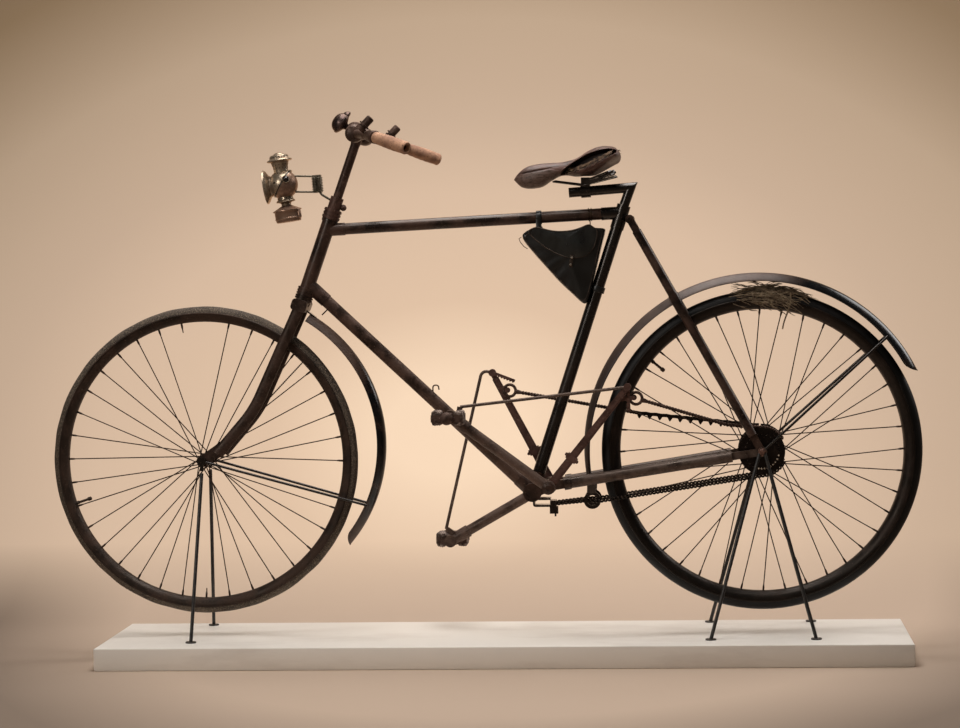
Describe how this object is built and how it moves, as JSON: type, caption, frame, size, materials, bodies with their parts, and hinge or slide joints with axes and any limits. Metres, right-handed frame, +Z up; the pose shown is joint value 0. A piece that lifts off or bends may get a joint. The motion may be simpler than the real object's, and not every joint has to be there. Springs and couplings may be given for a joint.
{
  "type": "lever-driven safety bicycle",
  "caption": "Old treadle-lever safety bicycle with near-equal wheels, tool bag, oil lamp and worn leather saddle, held over a low white plinth by thin rods.",
  "frame": {"origin": "centre of the plinth's length on its underside, in the bicycle's middle plane", "axes": "+X forward along the bicycle, +Y to the rider's left, +Z up"},
  "size_m": [1.9789, 0.6107, 1.238],
  "materials": {
    "japanned_tube": "gloss black enamel worn to brown rust",
    "rusty_steel": "brown rusted steel",
    "dark_bright_parts": "dark tarnished plating",
    "rim_enamel": "brown-black enamel, rusted",
    "spoke_wire": "rusted wire",
    "mudguard": "thin enamelled sheet, dull",
    "old_rubber": "worn grey-brown rubber",
    "black_rubber": "smooth black rubber",
    "pedal_rubber": "perished rubber",
    "chain_steel": "dry rusted chain",
    "saddle_leather": "cracked brown leather",
    "bag_leather": "creased black leather",
    "grip_cork": "moulded cork composition, matt",
    "lamp_metal": "tarnished nickelled brass",
    "lamp_glass": "clear glass",
    "straw": "dry straw twine",
    "plinth_paint": "off-white painted boards",
    "stand_rod": "satin black"
  },
  "bodies": {
    "frame": {"plinth": "plinth_paint", "front_stand_rods": "stand_rod", "rear_stand_rods": "stand_rod", "head_tube": "japanned_tube", "top_tube": "japanned_tube", "down_tube": "japanned_tube", "seat_tube": "japanned_tube", "bottom_bracket": "japanned_tube", "seat_lug": "japanned_tube", "chain_stays": "japanned_tube", "seat_stays": "japanned_tube", "rear_axle": "dark_bright_parts", "seat_pillar": "dark_bright_parts", "saddle_frame": "rusty_steel", "saddle": "saddle_leather", "tool_bag": "bag_leather", "bag_straps": "bag_leather", "rear_mudguard": "mudguard", "rear_guard_stays": "mudguard", "return_chain": "chain_steel", "chain_yoke": "rusty_steel", "chain_guides": "rusty_steel", "left_chain": "chain_steel", "right_chain": "chain_steel"},
    "steering": {"fork_crown": "japanned_tube", "fork_blades": "japanned_tube", "front_axle": "dark_bright_parts", "front_mudguard": "mudguard", "front_guard_stays": "mudguard", "head_clip": "dark_bright_parts", "stem": "dark_bright_parts", "handlebar": "dark_bright_parts", "grips": "grip_cork", "bar_posts": "dark_bright_parts", "bell": "dark_bright_parts", "lamp_body": "lamp_metal", "lamp_lens": "lamp_glass", "lamp_bracket": "dark_bright_parts"},
    "front_wheel": {"front_tyre": "old_rubber", "front_rim": "rim_enamel", "front_hub": "dark_bright_parts", "front_spokes": "spoke_wire"},
    "rear_wheel": {"rear_tyre": "black_rubber", "rear_rim": "rim_enamel", "rear_hub": "dark_bright_parts", "rear_spokes": "spoke_wire", "straw_bundle": "straw"},
    "left_drum_body": {"left_drum": "chain_steel"},
    "right_drum_body": {"right_drum": "chain_steel"},
    "left_treadle": {"left_lever": "rusty_steel", "left_arm": "rusty_steel", "left_tie_rod": "rusty_steel"},
    "right_treadle": {"right_lever": "rusty_steel", "right_arm": "rusty_steel", "right_tie_rod": "rusty_steel"},
    "left_pedal_body": {"left_pedal": "pedal_rubber"},
    "right_pedal_body": {"right_pedal": "pedal_rubber"}
  },
  "joints": [
    {"name": "steering", "type": "hinge", "parent": "frame", "child": "steering", "pos_m": [0.4485, 0, 0.823], "axis": [-0.3387, 0, 0.9409], "range_deg": [-14, 14]},
    {"name": "front_wheel", "type": "hinge", "parent": "steering", "child": "front_wheel", "pos_m": [0.684, 0, 0.451], "axis": [0, 1, 0], "continuous": true},
    {"name": "rear_wheel", "type": "hinge", "parent": "frame", "child": "rear_wheel", "pos_m": [-0.583, 0, 0.459], "axis": [0, 1, 0], "continuous": true},
    {"name": "left_treadle", "type": "hinge", "parent": "frame", "child": "left_treadle", "pos_m": [-0.1054, 0, 0.3854], "axis": [0, 1, 0], "range_deg": [0, 66.5], "deforming": ["left_chain"]},
    {"name": "right_treadle", "type": "hinge", "parent": "frame", "child": "right_treadle", "pos_m": [-0.1054, 0, 0.3854], "axis": [0, 1, 0], "range_deg": [-66.5, 0], "deforming": ["right_chain"]},
    {"name": "left_drum", "type": "hinge", "parent": "frame", "child": "left_drum_body", "pos_m": [-0.583, 0, 0.459], "axis": [0, 1, 0], "range_deg": [0, 340]},
    {"name": "right_drum", "type": "hinge", "parent": "frame", "child": "right_drum_body", "pos_m": [-0.583, 0, 0.459], "axis": [0, 1, 0], "range_deg": [-340, 0]},
    {"name": "left_pedal", "type": "hinge", "parent": "left_treadle", "child": "left_pedal_body", "pos_m": [0.11211, 0.137, 0.54871], "axis": [0, 1, 0], "continuous": true},
    {"name": "right_pedal", "type": "hinge", "parent": "right_treadle", "child": "right_pedal_body", "pos_m": [0.1311, -0.137, 0.25105], "axis": [0, 1, 0], "continuous": true}
  ],
  "couplings": [
    {"joint": "right_treadle", "follows": "left_treadle", "ratio": -1},
    {"joint": "left_drum", "follows": "left_treadle", "ratio": 5.1},
    {"joint": "right_drum", "follows": "left_treadle", "ratio": -5.1}
  ]
}
